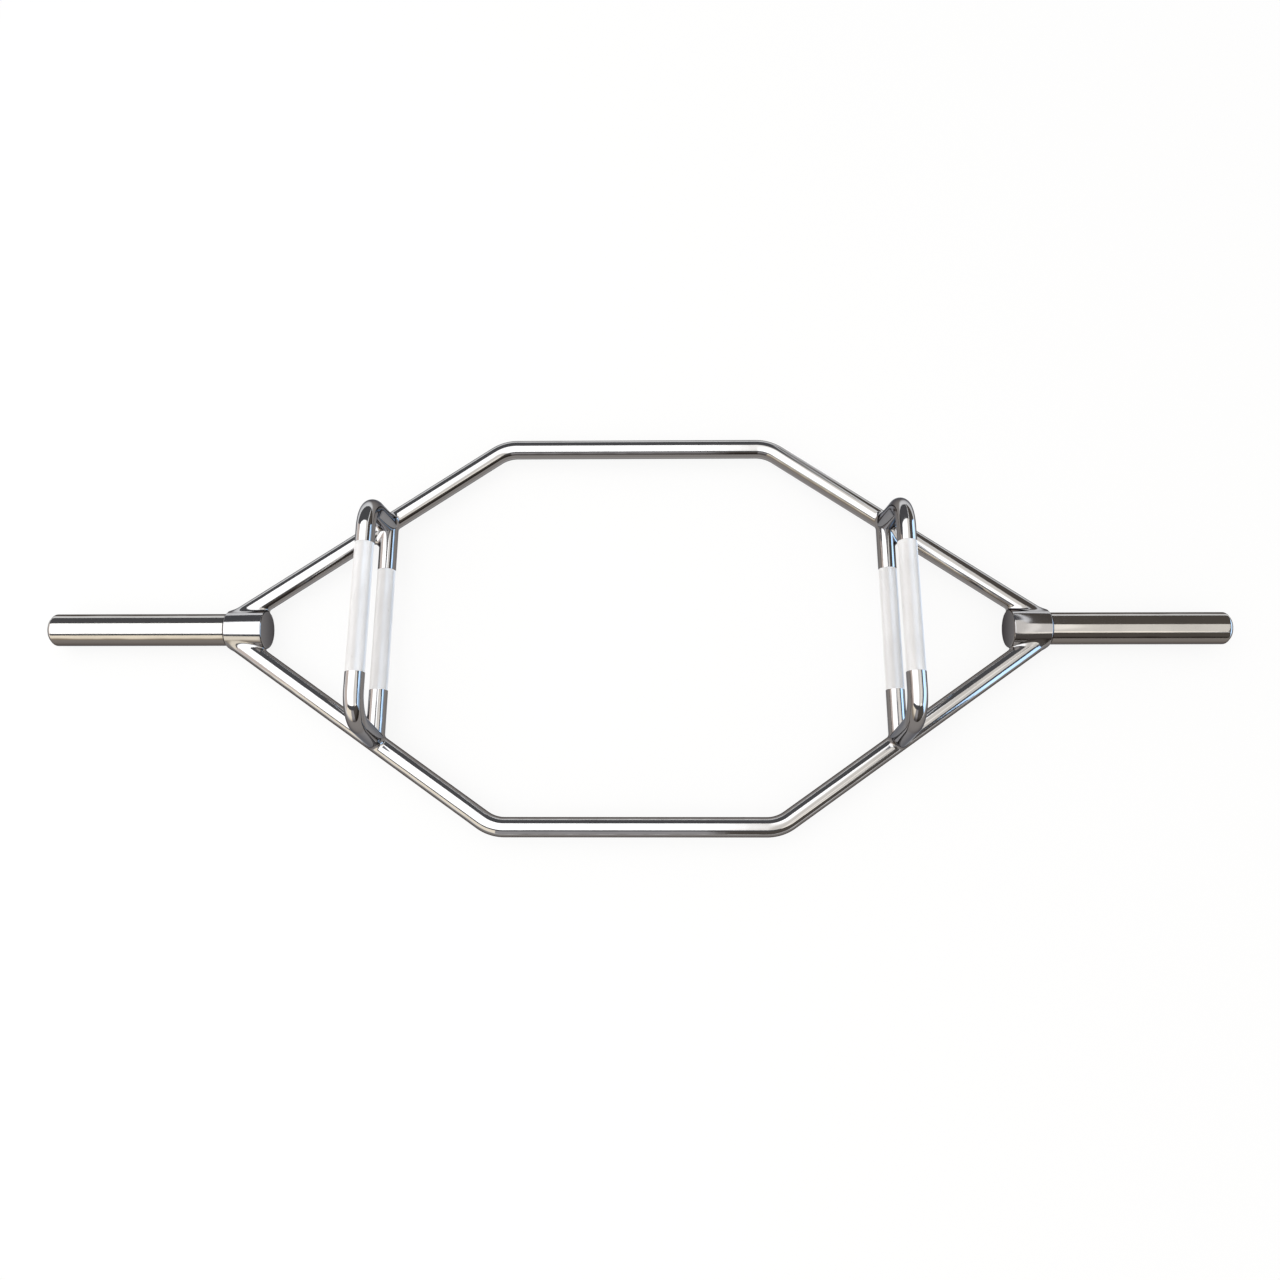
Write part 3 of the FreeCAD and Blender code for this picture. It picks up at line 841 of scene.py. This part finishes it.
def wide_card(name, material, left, right, first, last):
    """A card along X, between two edges that are given by their Y and Z."""
    across = (0, last[0] - first[0], last[1] - first[1])
    return card(name, material, (left, *first), (right - left, 0, 0), across)


def deep_card(name, material, front, rear, first, last):
    """A card along Y, between two edges that are given by their X and Z."""
    across = (last[0] - first[0], 0, last[1] - first[1])
    return card(name, material, (first[0], front, first[1]), (0, rear - front, 0), across)


class TRAPBAR_OT_stage(bpy.types.Operator):
    """Make the floor, the light panels and the camera"""

    bl_idname = "trapbar.stage"
    bl_label = "Stage"
    bl_options = {"REGISTER", "UNDO"}

    def execute(self, context):
        settings = context.scene.stage_settings
        half = settings.floor_size / 2
        wide_card("floor", floor_material(settings.floor_colour), -half, half, (-half, 0), (half, 0))
        self.panels(settings)
        self.walls(settings.ceiling)
        self.world(context.scene, settings)
        self.camera(context.scene, settings)
        context.scene.view_settings.view_transform = "Standard"
        return {"FINISHED"}

    def panels(self, settings):
        """The light panels overhead, which the camera doesn't see."""
        white_glow = settings.panel_colour, settings.panel
        white = fading("panel_white", white_glow, GREY_GLOW, WHITE_FADE)
        grey = fading("panel_grey", LIGHT_GLOW, GREY_GLOW, LIGHT_FADE)
        cream = glowing("panel_cream", CREAM_GLOW)
        top = settings.ceiling
        for name, material, left, right, front, rear in (
            ("panel_left", white, PANEL_LEFT, PANEL_SPLIT, PANEL_FRONT, PANEL_REAR),
            ("panel_right", grey, PANEL_SPLIT, PANEL_RIGHT, RIGHT_PANEL_FRONT, RIGHT_PANEL_REAR),
            ("panel_right_edge", cream, PANEL_SPLIT, PANEL_RIGHT, CREAM_FRONT, RIGHT_PANEL_FRONT),
        ):
            panel = wide_card(name, material, left, right, (front, top), (rear, top))
            panel.visible_camera = False

    def walls(self, top):
        """The dark and tinted sides, which show only in the chrome."""
        dark, brown = glowing("side_dark", DARK_GLOW), glowing("side_brown", BROWN_GLOW)
        beige, dull = glowing("side_beige", BEIGE_GLOW), glowing("side_dull", DULL_GLOW)
        warm, window = glowing("side_warm", WARM_GLOW), glowing("side_window", WINDOW_GLOW)
        front_top, front_foot = (FRONT_WALL, top - FRONT_WALL_DROP), (FRONT_WALL_FOOT, 0.0)
        rear_edge, right_rear_edge = (REAR_WALL, REAR_WALL_BOTTOM), (REAR_WALL, RIGHT_REAR_WALL_BOTTOM)
        window_top, window_foot = (WINDOW_SIDE, WINDOW_TOP), (WINDOW_SIDE, 0.0)
        left_part, right_part = (ROOM_LEFT, PANEL_SPLIT), (PANEL_SPLIT, ROOM_RIGHT)
        depth = PANEL_FRONT, PANEL_REAR
        cards = (
            wide_card("side_rear", dark, *left_part, (PANEL_REAR, top), rear_edge),
            wide_card("side_rear_right", brown, *right_part, (RIGHT_PANEL_REAR, top), right_rear_edge),
            wide_card("side_gap", dark, *left_part, (PANEL_FRONT, top), front_top),
            wide_card("side_gap_right", brown, *right_part, (CREAM_FRONT, top), front_top),
            wide_card("side_front_left", beige, ROOM_LEFT, BEIGE_RIGHT, front_top, front_foot),
            wide_card("side_front", dull, BEIGE_RIGHT, DULL_RIGHT, front_top, front_foot),
            wide_card("side_front_right", brown, DULL_RIGHT, ROOM_RIGHT, front_top, front_foot),
            deep_card("side_left", warm, *depth, (PANEL_LEFT, top), (LEFT_WALL_FOOT, 0.0)),
            deep_card("side_right_gap", dark, *depth, (PANEL_RIGHT, top), window_top),
            deep_card("side_right", window, *depth, window_top, window_foot),
        )
        for wall in cards:
            wall.visible_camera = wall.visible_diffuse = wall.visible_shadow = False

    def world(self, scene, settings):
        """Plain pale surroundings, which show as white."""
        scene.world = bpy.data.worlds.new("studio")
        nodes = Nodes(scene.world)
        level = seen(nodes) * (1 - settings.sky) + settings.sky
        sky = nodes.out("ShaderNodeBackground", 0, None, {"Color": rgba(WHITE), "Strength": level})
        nodes.show(sky, "ShaderNodeOutputWorld")

    def camera(self, scene, settings):
        """The photograph's viewpoint."""
        data = bpy.data.cameras.new("camera")
        data.sensor_width, data.lens = settings.sensor, settings.lens
        camera = bpy.data.objects.new("camera", data)
        at, aim = Vector(settings.camera_at), Vector(settings.camera_aim)
        back = (at - aim).normalized()
        right = Vector((0, 1, 0)).cross(back).normalized()
        square = Matrix((right, back.cross(right), back)).transposed().to_4x4()
        camera.matrix_world = Matrix.Translation(at) @ square @ Matrix.Rotation(settings.camera_roll, 4, "Z")
        scene.collection.objects.link(camera)
        scene.camera = camera


# Add-on.

GROUPS = {
    "bar_sizes": BarSizes,
    "mesh_counts": MeshCounts,
    "finish_colours": FinishColours,
    "stage_settings": StageSettings,
}
STEPS = (
    "frame_tubes", "collars", "sleeves", "low_handles", "raised_handles", "collar_welds", "handle_welds",
    "stage",
)


class TRAPBAR_PT_panel(bpy.types.Panel):
    """Sizes, colours and steps in the sidebar"""

    bl_idname = "TRAPBAR_PT_panel"
    bl_label = "Trap bar"
    bl_space_type = "VIEW_3D"
    bl_region_type = "UI"
    bl_category = "Trap bar"

    def draw(self, context):
        for group, kind in GROUPS.items():
            column = self.layout.column(align=True)
            for name in kind.__annotations__:
                column.prop(getattr(context.scene, group), name)
        for step in STEPS:
            self.layout.operator(f"trapbar.{step}")


CLASSES = (
    *GROUPS.values(), TRAPBAR_OT_frame_tubes, TRAPBAR_OT_collars, TRAPBAR_OT_sleeves, TRAPBAR_OT_low_handles,
    TRAPBAR_OT_raised_handles, TRAPBAR_OT_collar_welds, TRAPBAR_OT_handle_welds, TRAPBAR_OT_stage,
    TRAPBAR_PT_panel,
)


def register():
    for kind in CLASSES:
        bpy.utils.register_class(kind)
    for name, kind in GROUPS.items():
        setattr(bpy.types.Scene, name, PointerProperty(type=kind))


def unregister():
    for name in GROUPS:
        delattr(bpy.types.Scene, name)
    for kind in reversed(CLASSES):
        bpy.utils.unregister_class(kind)


def main():
    """Makes everything in order."""
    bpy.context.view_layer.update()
    register()
    for step in STEPS:
        getattr(bpy.ops.trapbar, step)()


if __name__ == "__main__":
    main()
